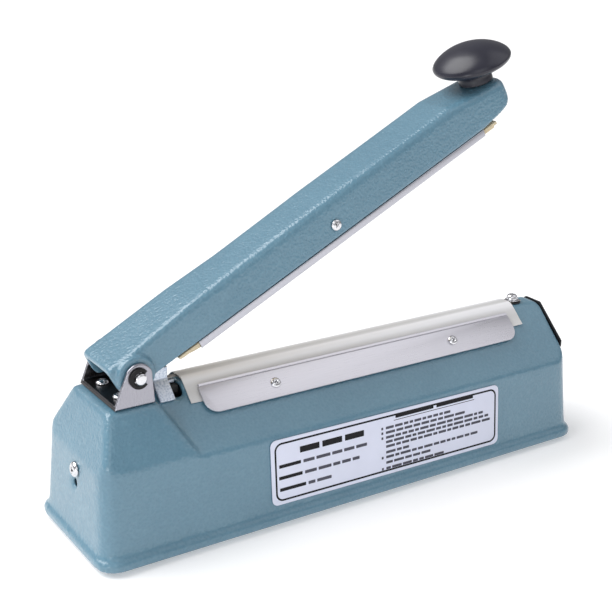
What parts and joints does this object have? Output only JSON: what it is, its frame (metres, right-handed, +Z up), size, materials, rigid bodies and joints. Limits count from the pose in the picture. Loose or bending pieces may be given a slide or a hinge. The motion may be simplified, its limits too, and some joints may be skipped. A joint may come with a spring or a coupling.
{
  "type": "impulse heat sealer",
  "caption": "Bench-top hand impulse sealer: long die-cast base with heated sealing bar under non-stick cloth, hinged cast pressing arm with round knob",
  "frame": {"origin": "centre of the base's footprint, on the plane of the rubber feet", "axes": "+X along the base from the hinge end to the control end, +Y to the rear (mains inlet side), +Z up"},
  "size_m": [0.32, 0.087, 0.2447],
  "materials": {
    "blue_paint": "hammertone enamel, satin gloss",
    "stainless": "rolled sheet, lightly brushed",
    "pin_steel": "turned",
    "zinc_plate": "zinc plated",
    "chrome_screws": "bright plated",
    "black_clip": "black oxide",
    "black_plastic": "moulded, soft gloss",
    "black_panel": "semi-matt enamel",
    "black_fibre": "laminate",
    "foot_rubber": "moulded",
    "silicone": "extruded silicone, matt",
    "aluminium": "extruded",
    "ptfe_cloth": "glass cloth with PTFE, slight sheen",
    "white_insulation": "glass tape",
    "heater_alloy": "flat resistance ribbon",
    "label_face": "printed film on metal",
    "lamp_red": "clear red moulding",
    "core_steel": "laminated, varnished",
    "winding_copper": "enamelled wire under tape",
    "green_board": "coated board",
    "blue_relay": "moulded case",
    "black_capacitor": "sleeved can"
  },
  "bodies": {
    "base": {"arm_return_spring": "stainless", "base_housing": "blue_paint", "bottom_plate": "zinc_plate", "bottom_screw_1": "chrome_screws", "bottom_screw_2": "chrome_screws", "bottom_screw_3": "chrome_screws", "bottom_screw_4": "chrome_screws", "bracket_screw_front": "chrome_screws", "bracket_screw_rear": "chrome_screws", "clamp_plate_front": "stainless", "clamp_plate_rear": "stainless", "clamp_screw_front_1": "chrome_screws", "clamp_screw_front_2": "chrome_screws", "clamp_screw_rear_1": "chrome_screws", "clamp_screw_rear_2": "chrome_screws", "control_panel": "black_panel", "heating_element": "heater_alloy", "hinge_bracket": "stainless", "hinge_pin": "pin_steel", "insulation_strip": "white_insulation", "label_plate": "label_face", "lamp_holder": "black_plastic", "lamp_lens": "lamp_red", "microswitch": "black_plastic", "microswitch_bracket": "zinc_plate", "power_inlet": "black_plastic", "ptfe_cover": "ptfe_cloth", "retaining_clip_front": "black_clip", "retaining_clip_rear": "black_clip", "rubber_foot_1": "foot_rubber", "rubber_foot_2": "foot_rubber", "rubber_foot_3": "foot_rubber", "rubber_foot_4": "foot_rubber", "spring_saddle": "zinc_plate", "switch_screw": "chrome_screws", "terminal_block_left": "black_fibre", "terminal_clip_left": "zinc_plate", "terminal_insulator_right": "black_fibre", "terminal_nut_right": "chrome_screws", "terminal_screw_right": "chrome_screws", "timer_board": "green_board", "timer_capacitor": "black_capacitor", "timer_potentiometer": "zinc_plate", "timer_relay": "blue_relay", "transformer_coil": "winding_copper", "transformer_core": "core_steel", "transformer_strap": "zinc_plate"},
    "arm": {"arm_casting": "blue_paint", "arm_screw_front": "chrome_screws", "arm_screw_rear": "chrome_screws", "press_bar": "aluminium", "silicone_pad": "silicone", "handle_knob": "black_plastic", "knob_bolt": "zinc_plate"},
    "rod": {"switch_rod": "stainless"},
    "lever": {"switch_lever": "stainless"},
    "dial": {"timer_dial": "black_plastic", "timer_shaft": "aluminium"}
  },
  "joints": [
    {"name": "arm_hinge", "type": "hinge", "parent": "base", "child": "arm", "pos_m": [-0.1272, 0, 0.095], "axis": [0, 1, 0], "range_deg": [0, 26.6], "stiffness_Nm_per_rad": 2, "springref_deg": -57.3, "deforming": ["arm_return_spring"]},
    {"name": "switch_rod_slide", "type": "slide", "parent": "base", "child": "rod", "axis": [0, 0, -1], "range_m": [0, 0.00602]},
    {"name": "switch_lever_hinge", "type": "hinge", "parent": "base", "child": "lever", "pos_m": [-0.137, 0, 0.0601], "axis": [0, 1, 0], "range_deg": [0, 16.6]},
    {"name": "timer_dial_hinge", "type": "hinge", "parent": "base", "child": "dial", "pos_m": [0.1552, 0.003, 0.0665], "axis": [1, 0, 0], "range_deg": [0, 270]}
  ],
  "couplings": [
    {"joint": "switch_rod_slide", "follows": "arm_hinge", "m_per_rad": 0.01292},
    {"joint": "switch_lever_hinge", "follows": "arm_hinge", "ratio": 0.617}
  ]
}
